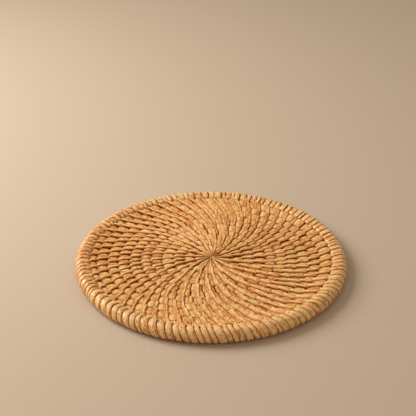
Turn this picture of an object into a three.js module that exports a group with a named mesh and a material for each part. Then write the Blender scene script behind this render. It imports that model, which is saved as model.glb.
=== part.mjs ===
// A round placemat of coiled rattan. A long cane is wound in a flat spiral, and split strands bind
// each turn of it to the turn before. Every so often a strand is left standing proud, and these
// strands line up in rays that swirl out from the centre. A thick hoop of canes runs round the edge,
// wrapped all the way along in one flat strip of split rattan.
// Millimetres, +Z up. The origin is on the surface that the mat lies on, under the mat's centre.

import * as THREE from 'three';
import { mergeVertices } from 'three/addons/utils/BufferGeometryUtils.js';

// Driving dimensions
const OUTER_DIAMETER = 300;
const HOOP_THICKNESS = 16.5; // across, and from the surface to its top
const HOOP_SIDES = 8; // one flat side faces the field, and one lies on the surface
const LEVEL_CORNERS = [0, 1, 6, 7]; // the corners of those two sides, counted round the section
const HOOP_WRAPS = 120; // turns of the flat strip round the hoop
const WRAP_GROOVE = 0.8; // depth of the line between two wraps
const FIT_GAP = 0.3; // between the hoop and the coiled field inside it
const COIL_TURNS = 11; // turns of the cane, from the centre to the hoop
const FIELD_TOP = 11.2; // height of the blocks between the rays
const FIELD_UNDERSIDE = 3.2; // the field hangs in the hoop, clear of the surface
const EDGE_DEPTH = 1.2; // the field's edge lies this far inside its two faces
const LEAST_STEP = 0.5; // points nearer than this to the centre or the edge are drawn in to it
const SWIRL = THREE.MathUtils.degToRad(35); // how far a ray turns on its way out, counterclockwise

// The rays split in two as the mat widens. A row for each zone, from the centre outwards.
const TOP_RAYS = [
  { untilTurn: 2, rays: 15 },
  { untilTurn: 6, rays: 30 },
  { untilTurn: COIL_TURNS, rays: 60 },
];
const UNDERSIDE_RAYS = [{ untilTurn: COIL_TURNS, rays: 15 }];

// Lines across each turn of the cane and across each ray, as shares of the way to the next.
const TURN_LINES = [
  { over: 'groove', at: 0 },
  { over: 'back', at: 0.25 },
  { over: 'back', at: 0.75 },
];
const RAY_LINES = [
  { on: 'strand', at: 0 },
  { on: 'valley', at: 0.3 },
  { on: 'block', at: 0.65 },
];
const WRAP_LINES = [
  { on: 'groove', at: 0 },
  { on: 'crown', at: 0.25 },
  { on: 'crown', at: 0.75 },
];

// How far each line on a ray stands out of the face, over the back of the cane and in the groove
// between two of its turns. The underside shows only the cane's turns.
const TOP_RELIEF = {
  strand: { back: 0.7, groove: -0.6 },
  valley: { back: -0.6, groove: -2 },
  block: { back: 0.1, groove: -1.6 },
};
const UNDERSIDE_RELIEF = {
  strand: { back: 0, groove: -1.4 },
  valley: { back: 0, groove: -1.4 },
  block: { back: 0, groove: -1.4 },
};

// Worked out from the driving dimensions
const OUTER_RADIUS = OUTER_DIAMETER / 2;
const HOOP_RADIUS = OUTER_RADIUS - HOOP_THICKNESS / 2; // to the middle of the hoop
const FIELD_RADIUS = OUTER_RADIUS - HOOP_THICKNESS - FIT_GAP;
const COIL_PITCH = FIELD_RADIUS / COIL_TURNS;
const FIELD_COLUMNS = RAY_LINES.length * TOP_RAYS.at(-1).rays;
const LAST_ROW = TURN_LINES.length * COIL_TURNS;
const HOOP_COLUMNS = WRAP_LINES.length * HOOP_WRAPS;

const strandMaterial = new THREE.MeshStandardMaterial({
  color: 0xdba968,
  roughness: 0.55,
  metalness: 0,
});
const wrapMaterial = new THREE.MeshStandardMaterial({
  color: 0xe0b274,
  roughness: 0.5,
  metalness: 0,
});

// A closed solid from triangles of Vector3 corners: equal corners become one vertex, and triangles
// that have shrunk to a line or a point are left out.
function solidFrom(triangles) {
  const loose = new THREE.BufferGeometry().setFromPoints(triangles.flat());
  const merged = mergeVertices(loose, 1e-4);
  const corners = merged.index.array;
  const kept = [];
  for (let i = 0; i < corners.length; i += 3) {
    const [a, b, c] = corners.slice(i, i + 3);
    if (a !== b && b !== c && c !== a) kept.push(a, b, c);
  }
  merged.setIndex(kept);
  merged.computeVertexNormals();
  return merged;
}

// The two triangles of a four-sided patch, counterclockwise as seen from outside.
function patch(a, b, c, d) {
  return [[a, b, c], [a, c, d]];
}

// The distance from the centre after so many turns of the cane.
function radiusAfter(turns) {
  const radius = turns * COIL_PITCH;
  if (radius < LEAST_STEP) return 0;
  return radius > FIELD_RADIUS - LEAST_STEP ? FIELD_RADIUS : radius;
}

// A point on one face of the field. A row winds with the cane, so its end at the last column is the
// start of the row that lies one turn further out. Where a zone has fewer rays, neighbouring columns
// share their points.
function fieldPoint(face, row, column) {
  const zone = face.zones.find(({ untilTurn }) => row < untilTurn * TURN_LINES.length);
  const rays = zone ? zone.rays : FIELD_COLUMNS / RAY_LINES.length;
  const line = Math.floor((column * rays * RAY_LINES.length) / FIELD_COLUMNS);
  const across = RAY_LINES[line % RAY_LINES.length];
  const round = (Math.floor(line / RAY_LINES.length) + across.at) / rays;

  const turn = Math.floor(row / TURN_LINES.length);
  const along = TURN_LINES[row - turn * TURN_LINES.length];
  const radius = radiusAfter(turn + along.at + round);
  const angle = 2 * Math.PI * round + (SWIRL * radius) / FIELD_RADIUS;

  const fadeIn = Math.min(1, radius / COIL_PITCH); // the first turn starts flat
  const relief = fadeIn * face.relief[across.on][along.over];
  const rise = radius === FIELD_RADIUS ? -EDGE_DEPTH : relief;
  return new THREE.Vector3(
    radius * Math.cos(angle),
    radius * Math.sin(angle),
    face.level + face.outwards * rise,
  );
}

// The corners of one patch of a face, counterclockwise as seen from above.
function fieldCorners(face, row, column) {
  return [
    fieldPoint(face, row, column),
    fieldPoint(face, row + 1, column),
    fieldPoint(face, row + 1, column + 1),
    fieldPoint(face, row, column + 1),
  ];
}

// The coiled field: its two woven faces, and the edge between them. The first rows lie a turn before
// the cane's start, so that they reach the centre as the cane winds on.
function wovenField() {
  const top = { level: FIELD_TOP, outwards: 1, relief: TOP_RELIEF, zones: TOP_RAYS };
  const underside = {
    level: FIELD_UNDERSIDE,
    outwards: -1,
    relief: UNDERSIDE_RELIEF,
    zones: UNDERSIDE_RAYS,
  };
  const triangles = [];
  for (let column = 0; column < FIELD_COLUMNS; column++) {
    for (let row = -TURN_LINES.length; row < LAST_ROW; row++) {
      triangles.push(...patch(...fieldCorners(top, row, column)));
      triangles.push(...patch(...fieldCorners(underside, row, column).reverse()));
    }
    const [, topStart, topEnd] = fieldCorners(top, LAST_ROW - 1, column);
    const [, lowStart, lowEnd] = fieldCorners(underside, LAST_ROW - 1, column);
    triangles.push(...patch(lowStart, lowEnd, topEnd, topStart));
  }
  return solidFrom(triangles);
}

// A point on the wrapped hoop. The corners count round the hoop's section from its inner side over
// the top, and the strip climbs one wrap on its way round, so the section's end is the start of the
// next wrap. The grooves between wraps leave the two flat sides whole.
function hoopPoint(column, corner) {
  const level = LEVEL_CORNERS.includes(corner % HOOP_SIDES);
  const line = WRAP_LINES[column % WRAP_LINES.length];
  const groove = line.on === 'groove' && !level ? WRAP_GROOVE : 0;
  const reach = HOOP_THICKNESS / 2 / Math.cos(Math.PI / HOOP_SIDES) - groove;
  const round = (2 * Math.PI * (corner - 0.5)) / HOOP_SIDES;
  const radius = HOOP_RADIUS - reach * Math.cos(round);

  const wrap = Math.floor(column / WRAP_LINES.length) + line.at + corner / HOOP_SIDES;
  const angle = (2 * Math.PI * wrap) / HOOP_WRAPS;
  return new THREE.Vector3(
    radius * Math.cos(angle),
    radius * Math.sin(angle),
    HOOP_THICKNESS / 2 + reach * Math.sin(round),
  );
}

function wrappedHoop() {
  const triangles = [];
  for (let column = 0; column < HOOP_COLUMNS; column++) {
    for (let corner = 0; corner < HOOP_SIDES; corner++) {
      triangles.push(
        ...patch(
          hoopPoint(column, corner),
          hoopPoint(column, corner + 1),
          hoopPoint(column + 1, corner + 1),
          hoopPoint(column + 1, corner),
        ),
      );
    }
  }
  return solidFrom(triangles);
}

function piece(name, geometry, material) {
  const mesh = new THREE.Mesh(geometry, material);
  mesh.name = name;
  return mesh;
}

const group = new THREE.Group();
group.add(piece('woven_field', wovenField(), strandMaterial));
group.add(piece('wrapped_hoop', wrappedHoop(), wrapMaterial));

export default group;
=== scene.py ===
import bpy
import numpy as np
from mathutils import Matrix, Vector


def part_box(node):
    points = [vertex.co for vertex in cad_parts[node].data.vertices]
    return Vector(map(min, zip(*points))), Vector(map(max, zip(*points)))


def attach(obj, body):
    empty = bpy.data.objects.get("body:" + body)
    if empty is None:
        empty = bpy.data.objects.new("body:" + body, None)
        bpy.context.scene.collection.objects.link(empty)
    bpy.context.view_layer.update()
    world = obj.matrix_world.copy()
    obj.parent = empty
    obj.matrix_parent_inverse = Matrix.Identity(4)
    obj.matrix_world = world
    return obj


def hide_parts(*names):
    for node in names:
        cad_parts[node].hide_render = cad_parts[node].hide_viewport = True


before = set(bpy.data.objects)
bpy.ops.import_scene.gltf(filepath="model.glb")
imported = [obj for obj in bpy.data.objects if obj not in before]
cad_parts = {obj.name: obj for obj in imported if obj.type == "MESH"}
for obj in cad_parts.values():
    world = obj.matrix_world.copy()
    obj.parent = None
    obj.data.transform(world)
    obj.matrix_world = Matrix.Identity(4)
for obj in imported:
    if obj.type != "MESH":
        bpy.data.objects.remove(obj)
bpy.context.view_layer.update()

# The camera: a long lens, a good metre away and well above the mat, on the mat's near side. The
# middle of the mat is a little below and right of the middle of the picture.
CAMERA_HEIGHT_ANGLE = np.radians(31.8)
CAMERA_DISTANCE = 1.119
CAMERA_LENS_MM = 87.3
SENSOR_MM = 36.0
NEAREST_SEEN = 0.01
PICTURE_SIDE_PX = 416
MAT_MIDDLE_PX = (211.5, 256.5)
MAT_MIDDLE_HEIGHT = 0.0115

mat_middle = Vector((0.0, 0.0, MAT_MIDDLE_HEIGHT))
eye = mat_middle + CAMERA_DISTANCE * Vector(
    (0.0, -np.cos(CAMERA_HEIGHT_ANGLE), np.sin(CAMERA_HEIGHT_ANGLE))
)
pixels_per_radian = CAMERA_LENS_MM / SENSOR_MM * PICTURE_SIDE_PX
turn_left = (MAT_MIDDLE_PX[0] - PICTURE_SIDE_PX / 2) / pixels_per_radian
turn_up = (MAT_MIDDLE_PX[1] - PICTURE_SIDE_PX / 2) / pixels_per_radian
camera = bpy.data.objects.new("camera", bpy.data.cameras.new("camera"))
camera.data.lens = CAMERA_LENS_MM
camera.data.sensor_width = SENSOR_MM
camera.data.clip_start = NEAREST_SEEN
camera.matrix_world = (
    Matrix.Translation(eye)
    @ Matrix.Rotation(turn_left, 4, "Z")
    @ (mat_middle - eye).to_track_quat("-Z", "Y").to_matrix().to_4x4()
    @ Matrix.Rotation(turn_up, 4, "X")
)
bpy.context.scene.collection.objects.link(camera)
bpy.context.scene.camera = camera
bpy.context.scene.view_settings.view_transform = "Standard"


# The core of the field: one long round cane, wound in a flat spiral from the middle of the mat to
# the hoop. It only shows in the gaps between the strands that bind it, and there it is dark:
# painted shade in those gaps.
field_low, field_high = (np.array(corner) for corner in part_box("woven_field"))
TURNS = 11
TURN_WIDTH = field_high[0] / TURNS
TAIL = 0.305  # the share of a turn by which the cane stops short of the last one's end
SWIRL = np.radians(35)  # how far a ray turns on its way from the middle to the hoop
STRAND_CREST = 0.0009  # how far the rays stand out of the top face
FACE_TOP = field_high[2] - STRAND_CREST
FACE_LOW = field_low[2]
CLIMB = 0.0038
CLIMB_START = 9.3
CLIMB_END = TURNS + 0.45
CLIMB_POWER = 1.6
STEADY_MIDDLE = 2  # the winding is even at the middle, and as uneven as it gets this many turns out
STEADY_RIM = 1.5  # and it grows even again over this many turns before the hoop

# The slow waves in the winding. A row has a wave's size, how often it comes round the mat, how far
# it shifts with each turn of the cane, and where it starts.
WAVES_OUTWARDS = ((0.0005, 2, 1.7, 0), (0.0003, 5, -0.9, 0))
WAVES_AROUND = ((0.010, 3, 0.8, 0), (0.006, 8, -1.3, 2))

CANE_START = -0.5
CANE_STEPS_PER_TURN = 60
CANE_THICKNESS = 0.0020
CANE_LEVEL = 0.0061
CANE_SHARE = 0.9  # of the turn's width
eighths = np.arange(8) * np.pi / 4
ROUND_SECTION = np.stack([np.cos(eighths), np.sin(eighths)], -1)

BROWN = (160, 84, 30)
DARK = (84, 38, 12)

# The grain of split rattan. A row has how fine it is along and across a strip, in marks a metre,
# how far apart neighbouring strips lie in it, and how much finer detail it has.
FIBRES = (60, 2600, 7.31, 3.0)
PATCHES = (70, 800, 3.7, 2.0)
SPECKS = (330, 560, 5.9, 1.0)
FIBRE_CONTRAST = 0.9
PAINTED_SHADE_SHARE = 0.9  # how far a strip is darkened towards its painted-shade colour where it lies deepest in the weave
GRAIN_RELIEF = {"Strength": 0.7, "Distance": 0.0004}
FIBRE_RELIEF = 0.5  # beside the relief of patches and specks
FIBRE_ROUGHNESS = 0.25
COAT_ROUGHNESS = 0.25
SHINE = 0.4


def place(radius, angle, height):
    """The point at that distance and angle from the mat's middle, at that height."""
    parts = np.broadcast_arrays(radius * np.cos(angle), radius * np.sin(angle), height)
    return np.stack(parts, -1)


def ray_angle(around, turns):
    """The angle of a ray: a full circle times around, plus the swirl, which grows evenly to SWIRL
    at the hoop."""
    return 2 * np.pi * around + SWIRL * turns / TURNS


def waves(rows, around, turns):
    """The sum of size * sin(times * full circle * around + shift * turns + start) over the rows."""
    whole = 2 * np.pi * around
    return sum(
        size * np.sin(times * whole + shift * turns + start) for size, times, shift, start in rows
    )


def field_point(around, turns, height):
    """A point of the field. around counts full circles, and turns counts the cane's turns from the
    middle. The radius is turns * TURN_WIDTH and the angle is the ray's. Slow waves are added to
    both, and they die out at the middle and at the hoop."""
    uneven = np.clip(turns / STEADY_MIDDLE, 0, 1) * np.clip((TURNS - turns) / STEADY_RIM, 0, 1)
    radius = turns * TURN_WIDTH + uneven * waves(WAVES_OUTWARDS, around, turns)
    angle = ray_angle(around, turns) + uneven * waves(WAVES_AROUND, around, turns)
    return place(radius, angle, height)


def climb(turns):
    """How much higher the top face lies than in the middle, as it rises to meet the hoop: CLIMB *
    share ** CLIMB_POWER, with the share of the way from CLIMB_START to CLIMB_END."""
    share = np.clip((turns - CLIMB_START) / (CLIMB_END - CLIMB_START), 0, 1)
    return CLIMB * share**CLIMB_POWER


def add_facts(mesh, name, *facts):
    """Keeps three numbers for each point of a mesh, under a name that its finish reads."""
    numbers = np.stack(np.broadcast_arrays(*facts), -1).astype(np.float32)
    mesh.attributes.new(name, "FLOAT_VECTOR", "POINT").data.foreach_set("vector", numbers.ravel())


def strips(name, path, up, half_size, section, tone, painted_shade, edge_width, lowest=None, closed=False):
    """Strips of cane or peel, as one piece. path is (strips, steps, 3), up the way each strip's
    outer side faces, and half_size half its width and half its height at each step.
    With side = along x up and rise = side x along, made unit vectors, a point is path + across *
    half width * side + out * half height * rise, for each (across, out) of the section, which runs
    counterclockwise as seen looking along the strip.
    Its strip facts are how far along it is, how far across, and which strip. Its look facts are
    the strip's tone, how much painted shade it takes where it lies deep in the weave, and how near
    it is to the strip's edge, over the outer edge_width of the half width, where it takes painted
    shade too, all from 0 to 1. No point lies under lowest. closed joins each strip's end to its
    start."""
    path, up = np.broadcast_arrays(path, up)
    count, steps, corners = path.shape[0], path.shape[1], len(section)
    if closed:
        along = np.roll(path, -1, axis=1) - np.roll(path, 1, axis=1)
    else:
        along = np.gradient(path, axis=1)
    along = along / np.linalg.norm(along, axis=-1, keepdims=True)
    side = np.cross(along, up)
    side = side / np.linalg.norm(side, axis=-1, keepdims=True)
    rise = np.cross(side, along)
    half_width, half_height = (np.broadcast_to(half, (count, steps)) for half in half_size)
    across = section[:, 0] * half_width[..., None]
    out = section[:, 1] * half_height[..., None]
    sideways = across[..., None] * side[:, :, None]
    points = path[:, :, None] + sideways + out[..., None] * rise[:, :, None]
    if lowest is not None:
        points[..., 2] = np.maximum(points[..., 2], lowest)

    number = np.arange(count * steps * corners).reshape(count, steps, corners)
    near = number if closed else number[:, :-1]
    far = np.roll(number, -1, axis=1) if closed else number[:, 1:]
    quads = np.stack([near, far, np.roll(far, -1, axis=2), np.roll(near, -1, axis=2)], -1)
    faces = quads.reshape(-1, 4).tolist()
    if not closed:
        faces += number[:, 0].tolist() + number[:, -1, ::-1].tolist()
    mesh = bpy.data.meshes.new(name)
    mesh.from_pydata(points.reshape(-1, 3), [], faces)
    mesh.shade_smooth()

    step_length = np.linalg.norm(np.diff(path, axis=1, prepend=path[:, :1]), axis=-1)
    travelled = np.cumsum(step_length, axis=1)[..., None]
    add_facts(mesh, "strip", travelled, across, np.arange(count)[:, None, None])
    add_facts(
        mesh,
        "look",
        np.broadcast_to(tone, (count, 1))[..., None],
        np.broadcast_to(painted_shade, (count, steps))[..., None],
        np.clip(1 - (1 - np.abs(section[:, 0])) / edge_width, 0, 1),
    )
    piece = bpy.data.objects.new(name, mesh)
    bpy.context.scene.collection.objects.link(piece)
    return piece


class Socket:
    """An output of a node. Sums, differences and products of these and of numbers add their Math
    nodes."""

    def __init__(self, finish, output):
        self.finish = finish
        self.output = output

    def math(self, operation, first, second):
        return self.finish.node("ShaderNodeMath", {"operation": operation}, {0: first, 1: second})

    def __add__(self, other):
        return self.math("ADD", self, other)

    def __sub__(self, other):
        return self.math("SUBTRACT", self, other)

    def __rsub__(self, other):
        return self.math("SUBTRACT", other, self)

    def __mul__(self, other):
        return self.math("MULTIPLY", self, other)

    __radd__ = __add__
    __rmul__ = __mul__


class Finish:
    """A material made of nodes."""

    def __init__(self, name):
        self.material = bpy.data.materials.new(name)
        self.material.use_nodes = True
        self.tree = self.material.node_tree
        self.tree.nodes.clear()

    def node(self, kind, settings=None, sockets=None, output=0):
        """Adds a node, sets its settings, then its sockets from numbers, colours or Sockets, and
        returns one of its outputs."""
        node = self.tree.nodes.new(kind)
        for name, value in (settings or {}).items():
            if name == "stops":
                self.set_stops(node.color_ramp, value)
            else:
                setattr(node, name, value)
        for name, value in (sockets or {}).items():
            if isinstance(value, Socket):
                self.tree.links.new(value.output, node.inputs[name])
            else:
                node.inputs[name].default_value = value
        return Socket(self, node.outputs[output]) if node.outputs else None

    def set_stops(self, ramp, stops):
        while len(ramp.elements) < len(stops):
            ramp.elements.new(1)
        for element, (position, colour) in zip(ramp.elements, stops):
            element.position = position
            element.color = colour

    def noise(self, spot, scale, detail):
        sockets = {"Vector": spot, "Scale": scale, "Detail": detail}
        return self.node("ShaderNodeTexNoise", sockets=sockets)

    def mix(self, share, first, second):
        return self.node(
            "ShaderNodeMix", {"data_type": "RGBA"}, {0: share, 6: first, 7: second}, output=2
        )

    def surface(self, sockets):
        shader = self.node("ShaderNodeBsdfPrincipled", sockets=sockets)
        self.node("ShaderNodeOutputMaterial", sockets={"Surface": shader})


def colour(red, green, blue):
    """A colour given as it looks on a screen, from 0 to 255, as the numbers that a socket takes."""
    share = np.array([red, green, blue]) / 255
    linear = np.where(share <= 0.04045, share / 12.92, ((share + 0.055) / 1.055) ** 2.4)
    return (*linear.tolist(), 1.0)


def rattan(name, deepest_to_palest, painted_shade_colour, edge_share, streaks, specks, gloss, coat):
    """Split rattan. Each strip has its own tone between the three colours, with fine fibres,
    longer streaks and specks along it. Its edges, and the parts that lie deep in the weave, are
    darkened towards a painted-shade colour: painted shade between the strips and in the grooves."""
    finish = Finish(name)
    strip = finish.node("ShaderNodeAttribute", {"attribute_name": "strip"}, output=1)
    look = finish.node("ShaderNodeAttribute", {"attribute_name": "look"}, output=1)
    tone, painted_shade, edge = (
        finish.node("ShaderNodeSeparateXYZ", sockets={"Vector": look}, output=number)
        for number in range(3)
    )
    fibres, patches, spots = (
        finish.noise(
            finish.node("ShaderNodeVectorMath", {"operation": "MULTIPLY"}, {0: strip, 1: fineness}),
            1.0,
            detail,
        )
        for *fineness, detail in (FIBRES, PATCHES, SPECKS)
    )
    shade = (
        tone
        + FIBRE_CONTRAST * (fibres - 0.5)
        + streaks * (patches - 0.5)
        + specks * (spots - 0.5)
    )
    stops = [(step / 2, colour(*shown)) for step, shown in enumerate(deepest_to_palest)]
    body = finish.node("ShaderNodeValToRGB", {"stops": stops}, {"Fac": shade})
    darkened = finish.mix(PAINTED_SHADE_SHARE * painted_shade, body, colour(*painted_shade_colour))
    relief = {**GRAIN_RELIEF, "Height": FIBRE_RELIEF * fibres + patches + spots}
    finish.surface(
        {
            "Base Color": finish.mix(edge_share * edge, darkened, colour(*painted_shade_colour)),
            "Roughness": gloss + FIBRE_ROUGHNESS * fibres,
            "Normal": finish.node("ShaderNodeBump", sockets=relief),
            "Coat Weight": coat,
            "Coat Roughness": COAT_ROUGHNESS,
            "Specular IOR Level": SHINE,
        }
    )
    return finish.material


def add_to_field(piece, finish):
    """A piece of the field: it has that finish, rides on the mat's one body and stands for the
    field's solid."""
    piece.data.materials.append(finish)
    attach(piece, "root")
    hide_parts("woven_field")


wound = np.arange(CANE_START, TURNS - TAIL, 1 / CANE_STEPS_PER_TURN)[None]
cane_inner = np.maximum(wound, 0)
cane_outer = np.where(wound + 1 > TURNS - TAIL, TURNS, wound + 1)
cane_middle = (cane_inner + cane_outer) / 2
cane = strips(
    "cane_core",
    field_point(wound, cane_middle, CANE_LEVEL + climb(cane_middle) / 2),
    np.array([0.0, 0.0, 1.0]),
    (
        CANE_SHARE * TURN_WIDTH * (cane_outer - cane_inner) / 2,
        (CANE_THICKNESS + climb(cane_middle)) / 2,
    ),
    ROUND_SECTION,
    tone=0.5,
    painted_shade=1,
    edge_width=1,
)
cane_finish = rattan(
    "core_rattan",
    (DARK, BROWN, BROWN),
    painted_shade_colour=BROWN,
    edge_share=0.0,
    streaks=0.5,
    specks=0.5,
    gloss=0.6,
    coat=0.0,
)
add_to_field(cane, cane_finish)


# The rays: at each ray a split strand comes up beside the last one, lies proud over one turn of the
# cane, and is drawn down into the next groove. It falls a little on its way outwards.
RAY_ZONES = ((0, 2, 15), (2, 6, 30), (6, TURNS, 60))  # from and to that turn, and how many rays
RAY_STEPS = 8
RAY_CLOSENESS = 0.4
RAY_END = 11.3
MIDDLE_HOLE = 0.12
MIDDLE_END = 6  # the mat's middle, in turns, and how many turns it takes to fade out
MIDDLE_FADE = 3
STRAND_WIDTH = 0.0046
STRAND_SHARE = 0.42  # of the way to the next ray, at most
STRAND_THICKNESS = 0.0020
UNDERSIDE_CREST = 0.0005
STRAND_DEPTH = 0.0028
STRAND_START = 0.38  # how far before its cell a strand starts, as a share of the cell
RISE_SHARE = 0.36
FALL = 0.0002
FALL_START = 0.2
DIVE_START = 0.86
DIVE_SHARE = 0.18
STRAND_END = 1.04
LEAST_DRIFT = 0.0008
MOST_DRIFT = 0.0028
STRAND_SECTION = np.array(
    [
        (0.95, -1.0),
        (1.0, -0.1),
        (0.68, 0.8),
        (0.36, 0.85),
        (0.06, 0.3),
        (-0.3, 0.95),
        (-0.7, 0.85),
        (-1.0, 0.0),
        (-0.95, -1.0),
    ]
)

# What chance adds to a strand: sideways and in height, in metres, and as shares of the rest.
STRAND_CHANCE = {"sideways": 0.0004, "crest": 0.00012, "width": 0.14, "tone": 0.14}
LEAST_WIDTH = 0.6
MOST_WIDTH = 1.3

# The strands differ with the side of the mat, in width and in tone, and the tone there is partly
# painted light and shade. A row has a direction from the mat's middle, in degrees counterclockwise
# from its right, and what is added to a tone or a width there.
LEFT = 180
STRAND_TONE = 0.82
STRAND_TONE_AND_LIGHT_BY_SIDE = ((310, 0.18), (150, 0.2), (230, -0.3), (45, -0.4))
STRAND_TONE_AT_MIDDLE = 0.25
WIDTH_BY_SIDE = ((155, -0.38), (10, -0.15))
RIM_WIDTH_BY_SIDE = (295, 0.3)  # nothing of it at the middle, and all from MIDDLE_END out
# How much painted shade a strand takes where it lies deepest in a groove.
STRAND_PAINTED_SHADE = 0.8

PALE = (243, 208, 143)
HONEY = (229, 173, 94)
AMBER = (203, 127, 56)
# The colour of the painted shade in the strands' grooves and at their edges.
STRAND_PAINTED_SHADE_COLOUR = (170, 86, 22)

chance = np.random.default_rng(11)


def cells(zones):
    """The cells of some zones, as four columns: how far round the mat each cell starts, its inner
    and outer end in turns, and how many cells there are in a turn there."""
    zone_cells = []
    for first, last, count in zones:
        grid = np.meshgrid(np.arange(first, last), np.arange(count) / count, [count], indexing="ij")
        zone_cells.append(np.stack(grid, -1).reshape(-1, 3))
    cell = np.concatenate(zone_cells)
    turn, around, count = cell[cell[:, 0] + cell[:, 1] < TURNS - TAIL].T[..., None]
    inner = np.where(turn == 0, MIDDLE_HOLE, turn + around)
    outer = turn + around + 1
    return around, inner, np.where(outer > TURNS - TAIL, TURNS, outer), count


def close_ends(steps, closeness):
    """Shares of the way along a strand, from evenly spaced (closeness 0) to much closer together at
    its two ends (closeness 1), as half a wave of the cosine."""
    even = np.linspace(0, 1, steps)[None]
    return even + closeness * (0.5 - 0.5 * np.cos(np.pi * even) - even)


def cell_width(turns, rays):
    """How far apart two rays are, in metres, at that many turns from the middle."""
    return 2 * np.pi * turns * TURN_WIDTH / rays


def strand_width(turns, rays):
    """A strand's width, in metres: STRAND_WIDTH, or less where the rays crowd together."""
    return np.minimum(STRAND_WIDTH, STRAND_SHARE * cell_width(turns, rays))


def facing(degrees, angle):
    """1 on the side of the mat that lies in that direction from its middle, and 0 from a quarter
    turn off: the cosine of the angle between them, squared."""
    return np.clip(np.cos(angle - np.radians(degrees)), 0, 1) ** 2


def by_side(start, rows, angle):
    """start, plus for each row its share times facing."""
    for degrees, share in rows:
        start = start + share * facing(degrees, angle)
    return start


def on_sides(around, turns):
    """1 at the mat's left and right, and 0 at its front and back: the cosine of the ray's angle,
    squared."""
    return np.cos(ray_angle(around, turns)) ** 2


def near_middle(turns):
    """1 in the mat's middle, and 0 from MIDDLE_END outwards, with an even slope between."""
    return np.clip((MIDDLE_END - turns) / MIDDLE_FADE, 0, 1)


def far_out(turns):
    """0 at the mat's middle, and 1 from MIDDLE_END outwards, with an even slope between."""
    return np.clip(turns / MIDDLE_END, 0, 1)


def drift(around, turns, share):
    """How far sideways a strand lies at that share of its cell: -most * (share - 0.5), so that it
    stands straighter than its ray. most goes from LEAST_DRIFT to MOST_DRIFT on the mat's sides."""
    most = LEAST_DRIFT + (MOST_DRIFT - LEAST_DRIFT) * on_sides(around, turns)
    return -most * far_out(turns) * (share - 0.5)


def on_face(around, turns, sideways, above, side):
    """A point on the top face (side 1) or the underside (side -1), that far sideways and above the
    face, in metres."""
    level = FACE_TOP + climb(turns) if side > 0 else FACE_LOW
    around = around + sideways / (2 * np.pi * turns * TURN_WIDTH)
    return field_point(around, turns, level + side * above)


def ray_strands(name, side, steps):
    """One strand for each cell and, on the top, one more for each ray at the rim. The share runs
    from 0 at the cell's inner groove to 1 at its outer one.
    The strand starts STRAND_DEPTH under its crest and comes up with the smooth step 3 x^2 - 2 x^3
    over RISE_SHARE. It then falls by FALL * (share - FALL_START), and from DIVE_START it dives by
    STRAND_DEPTH * x^2 over DIVE_SHARE."""
    around, inner, outer, rays = cells(RAY_ZONES)
    if side > 0:
        rim_rays = RAY_ZONES[-1][2]
        at_rim = np.arange(rim_rays)[:, None] / rim_rays
        around = np.concatenate([around, at_rim])
        inner, outer, rays = (
            np.concatenate([old, np.full_like(at_rim, new)])
            for old, new in ((inner, TURNS), (outer, RAY_END), (rays, rim_rays))
        )
    share = -STRAND_START + (STRAND_END + STRAND_START) * close_ends(steps, RAY_CLOSENESS)
    turns = np.maximum(inner + (outer - inner) * share, MIDDLE_HOLE)
    angle = ray_angle(around, inner)
    sideways = drift(around, turns, share) + chance.normal(
        0, STRAND_CHANCE["sideways"], inner.shape
    )
    crest = STRAND_CREST if side > 0 else UNDERSIDE_CREST
    crest = crest + chance.normal(0, STRAND_CHANCE["crest"], inner.shape)
    rise = np.clip((share + STRAND_START) / RISE_SHARE, 0, 1)
    buried = STRAND_DEPTH * (1 - rise**2 * (3 - 2 * rise))
    dive = STRAND_DEPTH * np.clip((share - DIVE_START) / DIVE_SHARE, 0, 1) ** 2
    above = crest - buried - FALL * np.clip(share - FALL_START, 0, 1) - dive

    rim_side, rim_share = RIM_WIDTH_BY_SIDE
    side_width = by_side(1, WIDTH_BY_SIDE, angle)
    side_width = side_width + rim_share * facing(rim_side, angle) * far_out(inner)
    width = strand_width(turns, rays) * side_width
    own_width = chance.normal(1, STRAND_CHANCE["width"], inner.shape)
    half_width = width / 2 * np.clip(own_width, LEAST_WIDTH, MOST_WIDTH)
    own_tone = chance.normal(STRAND_TONE, STRAND_CHANCE["tone"], inner.shape)
    tone = by_side(own_tone, STRAND_TONE_AND_LIGHT_BY_SIDE, angle)
    # The strand is darkened where it lies down in the grooves, at its start and where it dives, and
    # at its edges: painted shade.
    return strips(
        name,
        on_face(around, turns, sideways, above - STRAND_THICKNESS / 2, side),
        np.array([0.0, 0.0, float(side)]),
        (half_width, STRAND_THICKNESS / 2),
        STRAND_SECTION,
        tone=np.clip(tone + STRAND_TONE_AT_MIDDLE * near_middle(inner), 0, 1),
        painted_shade=STRAND_PAINTED_SHADE * np.clip((buried + dive) / STRAND_DEPTH, 0, 1),
        edge_width=0.65,
    )


strand_finish = rattan(
    "strand_rattan",
    (AMBER, HONEY, PALE),
    painted_shade_colour=STRAND_PAINTED_SHADE_COLOUR,
    edge_share=0.8,
    streaks=2.6,
    specks=3.4,
    gloss=0.38,
    coat=0.15,
)
add_to_field(ray_strands("top_ray_strands", 1, RAY_STEPS), strand_finish)
add_to_field(ray_strands("underside_ray_strands", -1, RAY_STEPS - 1), strand_finish)


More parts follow.
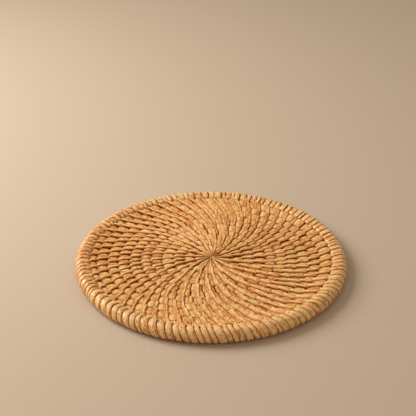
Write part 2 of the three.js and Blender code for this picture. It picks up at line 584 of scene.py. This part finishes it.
# The blocks between the rays: flat strands packed side by side over one turn of the cane, so that
# they look like one small pillow. Each rises a little outwards and is drawn down in the grooves.
BLOCK_ZONES = ((0, 2, 15), (2, 4, 30), (4, TURNS, 60))
BLOCK_STEPS = 7
BLOCK_CLOSENESS = 0.8
BLOCK_HALF_HEIGHT = 0.0010
BLOCK_SINK = 0.0001
BLOCK_ARCH = 0.0011
ARCH_POWER = 3.5
CORNER_ROUNDING = 0.16
LEAST_DRAWN = 0.3  # the share of its arch that a block has at the mat's front and back
BLOCK_RISE = 0.0006
LEAST_RISE = 0.2  # the share of BLOCK_RISE that is left on the mat's right
SINK_BY_SIDE = (300, 0.0004)
BLOCK_CHANCE = {"sideways": 0.00015, "depth": 0.0002, "tone": 0.14}

# The share of a strand's width that a block leaves free on each side. It is small where two blocks
# lie between two rays. Elsewhere it grows towards the side of the mat that its row gives.
SQUEEZE = 0.22
SQUEEZE_BY_SIDE = ((350, 0.16),)
PAIRED_SQUEEZE = 0.06

BLOCK_TONE = 0.70
# Painted shade on the blocks at the back left of the mat: the direction in degrees and what is
# added to their tone there.
PAINTED_SHADE_BY_SIDE = (145, -0.4)  # none as far out as SHADE_START, and all SHADE_FADE turns on
SHADE_START = 3
SHADE_FADE = 4
# What is added to the blocks' tone on each side of the mat: partly painted light and shade.
BLOCK_TONE_AND_LIGHT_BY_SIDE = ((230, 0.15), (20, 0.1), (300, -0.5))
BLOCK_TONE_AT_MIDDLE = -0.1
PILLOW_SECTION = np.array(
    [
        (1.0, -2.4),
        (0.82, 0.0),
        (0.5, 0.75),
        (0.26, 0.65),
        (0.1, 1.0),
        (-0.14, 0.95),
        (-0.3, 0.65),
        (-0.55, 0.7),
        (-0.82, 0.0),
        (-1.0, -2.4),
    ]
)


def block_pillows(name, side, steps):
    """One pillow for each cell, with along from 0 at its inner groove to 1 at its outer one. Its
    depth is BLOCK_SINK, plus rise * (1 - along), plus BLOCK_ARCH * drawn * arch, with arch = |2
    along - 1| ** ARCH_POWER. CORNER_ROUNDING * drawn * arch is the share that its ends are narrowed
    by. drawn is 1 on the mat's sides and less at its front and back."""
    around, inner, outer, count = cells(BLOCK_ZONES)
    around = around + 0.5 / count
    along = close_ends(steps, BLOCK_CLOSENESS)
    turns = inner + (outer - inner) * along
    angle = ray_angle(around, inner)
    arch = np.abs(2 * along - 1) ** ARCH_POWER
    drawn = LEAST_DRAWN + (1 - LEAST_DRAWN) * on_sides(around, turns)
    rise = BLOCK_RISE * (LEAST_RISE + (1 - LEAST_RISE) * facing(LEFT, angle))
    paired = (inner >= BLOCK_ZONES[-1][0]) & (inner < RAY_ZONES[-1][0])
    squeeze = np.where(paired, PAIRED_SQUEEZE, by_side(SQUEEZE, SQUEEZE_BY_SIDE, angle))
    free = squeeze * strand_width(turns, count)
    half_width = (0.5 * cell_width(turns, count) - free) * (1 - CORNER_ROUNDING * drawn * arch)

    sideways = drift(around, turns, along) + chance.normal(0, BLOCK_CHANCE["sideways"], inner.shape)
    depth = BLOCK_SINK + rise * (1 - along) + BLOCK_ARCH * drawn * arch
    depth = by_side(depth, (SINK_BY_SIDE,), angle)
    depth = depth + chance.normal(0, BLOCK_CHANCE["depth"], inner.shape)

    # shaded is the share of that painted shade for each cell, growing outwards from SHADE_START.
    shaded_side, shaded_share = PAINTED_SHADE_BY_SIDE
    shaded = facing(shaded_side, angle) * np.clip((inner - SHADE_START) / SHADE_FADE, 0, 1)
    own_tone = chance.normal(BLOCK_TONE, BLOCK_CHANCE["tone"], inner.shape)
    tone = by_side(own_tone + shaded_share * shaded, BLOCK_TONE_AND_LIGHT_BY_SIDE, angle)
    # The pillow is darkened towards its ends, where it is drawn down into the grooves, and at its
    # edges: painted shade.
    return strips(
        name,
        on_face(around, turns, sideways, -depth - BLOCK_HALF_HEIGHT, side),
        np.array([0.0, 0.0, float(side)]),
        (half_width, BLOCK_HALF_HEIGHT),
        PILLOW_SECTION,
        tone=np.clip(tone + BLOCK_TONE_AT_MIDDLE * near_middle(inner), 0, 1),
        painted_shade=arch * drawn,
        edge_width=0.5,
    )


add_to_field(block_pillows("top_blocks", 1, BLOCK_STEPS), strand_finish)
add_to_field(block_pillows("underside_blocks", -1, BLOCK_STEPS - 2), strand_finish)


# The hoop: a bundle of canes bent round the edge of the field. Only a little of it shows, between
# the turns of the strip that wraps it, and its dark colour there is painted shade in those slits.
hoop_low, hoop_high = (np.array(corner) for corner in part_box("wrapped_hoop"))
HOOP_HALF = (hoop_high[2] - hoop_low[2]) / 2
HOOP_RADIUS = hoop_high[0] - HOOP_HALF
HOOP_STEPS = 180
BUNDLE_DEPTH = 0.0012  # inside the hoop's solid
BUNDLE_HALF = HOOP_HALF - BUNDLE_DEPTH
# The colour of the painted shade at the wrap's edges, at its foot and on the bundle.
WRAP_PAINTED_SHADE_COLOUR = (158, 74, 14)


def add_to_hoop(piece, finish):
    """A piece of the hoop: it has that finish, rides on the mat's one body and stands for the
    hoop's solid."""
    piece.data.materials.append(finish)
    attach(piece, "root")
    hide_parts("wrapped_hoop")


round_hoop = np.linspace(0, 2 * np.pi, HOOP_STEPS, endpoint=False)[None]
bundle = strips(
    "hoop_bundle",
    place(HOOP_RADIUS, round_hoop, HOOP_HALF),
    np.array([0.0, 0.0, 1.0]),
    (BUNDLE_HALF, BUNDLE_HALF),
    ROUND_SECTION,
    tone=0.5,
    painted_shade=1,
    edge_width=1,
    closed=True,
)
hoop_finish = rattan(
    "wrap_rattan",
    (AMBER, HONEY, PALE),
    painted_shade_colour=WRAP_PAINTED_SHADE_COLOUR,
    edge_share=0.95,
    streaks=3.0,
    specks=4.2,
    gloss=0.42,
    coat=0.6,
)
add_to_hoop(bundle, hoop_finish)


# The wrap: a long strip of peel, wound round the hoop about 120 times. Its turns aren't all as
# wide. Each one bulges between the dark lines where it meets its neighbours, with a faint crease
# along it. The dark lines are painted shade, at each turn's edges and on the bundle in the slits.
HOOP_WRAPS = 120
WRAP_STEPS = 18
WRAP_CROWDING = 0.5  # how much closer the steps lie at the shoulder
NARROWEST_WRAP = 0.6
WIDEST_WRAP = 1.45
WRAP_HEIGHT = 0.0008
LEFT_WRAP_HEIGHT = 0.0016
WRAP_SLIT = 0.0004
WIDE_SLIT = 0.0009
WIDE_SLIT_SIDES = (220, 20)
WRAP_SLANT = np.radians(2.6)
SLANT_START = np.radians(55)
WRAP_CHANCE = {"width": 0.2, "slant": 0.08, "reach": 0.00012, "tone": 0.12}

# Angles round the hoop's section, from its inner side over the top. The wrap stands out at a
# shoulder above the field, and is darkest at its foot, where it meets the field: painted shade
# where the two meet.
SHOULDER = 0.0018
SHOULDER_TURN = np.radians(32)
SHOULDER_SPREAD = np.radians(20)
FOOT_TURN = np.radians(6)
FOOT_SPREAD = np.radians(12)

WRAP_TONE = 0.84
# What is added to the wrap's tone on each side of the hoop: painted shade on the left and right,
# and painted light at the front left.
WRAP_PAINTED_LIGHT_BY_SIDE = ((LEFT, -0.4), (0, -0.12), (250, 0.1))
CREASED_SECTION = np.array(
    [
        (1.0, -0.6),
        (0.96, 0.2),
        (0.78, 0.68),
        (0.3, 1.0),
        (-0.1, 0.85),
        (-0.78, 0.75),
        (-0.96, 0.2),
        (-1.0, -0.6),
    ]
)


def swell(turned, middle, spread):
    """1 at the middle and less on both sides of it: exp(-((turned - middle) / spread) ** 2)."""
    return np.exp(-(((turned - middle) / spread) ** 2))


shares = chance.normal(1, WRAP_CHANCE["width"], HOOP_WRAPS)
shares = np.clip(shares, NARROWEST_WRAP, WIDEST_WRAP)
shares = shares / shares.sum()
wrap_middle = 2 * np.pi * (np.cumsum(shares) - shares / 2)[:, None]
wrap_width = (2 * np.pi * HOOP_RADIUS * shares)[:, None]
wrap_lean = chance.normal(1, WRAP_CHANCE["slant"], wrap_middle.shape) * WRAP_SLANT
wrap_height = WRAP_HEIGHT + (LEFT_WRAP_HEIGHT - WRAP_HEIGHT) * facing(LEFT, wrap_middle)
slit_share = np.maximum(*(facing(side, wrap_middle) for side in WIDE_SLIT_SIDES))
wrap_slit = WRAP_SLIT + (WIDE_SLIT - WRAP_SLIT) * slit_share

even_section = np.linspace(0, 2 * np.pi, WRAP_STEPS, endpoint=False)[None]
round_section = even_section - WRAP_CROWDING * np.sin(even_section - SHOULDER_TURN)
shoulder = SHOULDER * swell(round_section, SHOULDER_TURN, SHOULDER_SPREAD)
wrap_angle = wrap_middle - wrap_lean / 2 * np.cos(round_section - SLANT_START)
own_reach = chance.normal(0, WRAP_CHANCE["reach"], wrap_middle.shape)
wrap_reach = HOOP_HALF - wrap_height + shoulder + own_reach
wrap_radius = HOOP_RADIUS - wrap_reach * np.cos(round_section)
own_tone = chance.normal(WRAP_TONE, WRAP_CHANCE["tone"], wrap_middle.shape)
wraps = strips(
    "hoop_wrap",
    place(wrap_radius, wrap_angle, HOOP_HALF + wrap_reach * np.sin(round_section)),
    place(-np.cos(round_section), wrap_angle, np.sin(round_section)),
    ((wrap_width * wrap_radius / HOOP_RADIUS - wrap_slit) / 2, wrap_height),
    CREASED_SECTION,
    tone=np.clip(by_side(own_tone, WRAP_PAINTED_LIGHT_BY_SIDE, wrap_middle), 0, 1),
    painted_shade=swell(round_section, FOOT_TURN, FOOT_SPREAD),
    edge_width=0.3,
    lowest=0.0,
    closed=True,
)
add_to_hoop(wraps, hoop_finish)


# The studio: a plain pale floor, a large soft lamp on the left and a little behind the mat, and
# weak light from all round.
FLOOR_SIDE = 12.0
FLOOR_COLOURS = ((190, 175, 159), (198, 183, 167))
FLOOR_GRAIN = 220.0  # marks a metre
FLOOR_DETAIL = 4.0
FLOOR_ROUGHNESS = 0.85
STUDIO_COLOUR = (255, 232, 206)
STUDIO_STRENGTH = 0.50
LAMP_PLACE = Vector((-0.98, 0.38, 0.85))
LAMP_SIDE = 0.85
LAMP_WATTS = 18.2
LAMP_COLOUR = (255, 249, 238)

floor_mesh = bpy.data.meshes.new("floor")
half = FLOOR_SIDE / 2
floor_corners = [(-half, -half, 0), (half, -half, 0), (half, half, 0), (-half, half, 0)]
floor_mesh.from_pydata(floor_corners, [], [(0, 1, 2, 3)])
floor = bpy.data.objects.new("floor", floor_mesh)
bpy.context.scene.collection.objects.link(floor)
floor_finish = Finish("floor_plaster")
on_floor = floor_finish.node("ShaderNodeTexCoord", output=3)
grain = floor_finish.noise(on_floor, FLOOR_GRAIN, FLOOR_DETAIL)
floor_base = floor_finish.mix(grain, *(colour(*shown) for shown in FLOOR_COLOURS))
floor_finish.surface({"Base Color": floor_base, "Roughness": FLOOR_ROUGHNESS})
floor_mesh.materials.append(floor_finish.material)

studio = bpy.data.worlds.new("studio")
studio.use_nodes = True
light_all_round = studio.node_tree.nodes["Background"].inputs
light_all_round["Color"].default_value = colour(*STUDIO_COLOUR)
light_all_round["Strength"].default_value = STUDIO_STRENGTH
bpy.context.scene.world = studio

lamp = bpy.data.objects.new("side_lamp", bpy.data.lights.new("side_lamp", "AREA"))
lamp.data.shape = "SQUARE"
lamp.data.size = LAMP_SIDE
lamp.data.energy = LAMP_WATTS
lamp.data.color = colour(*LAMP_COLOUR)[:3]
lamp.location = LAMP_PLACE
lamp.rotation_euler = (mat_middle - LAMP_PLACE).to_track_quat("-Z", "Y").to_euler()
bpy.context.scene.collection.objects.link(lamp)
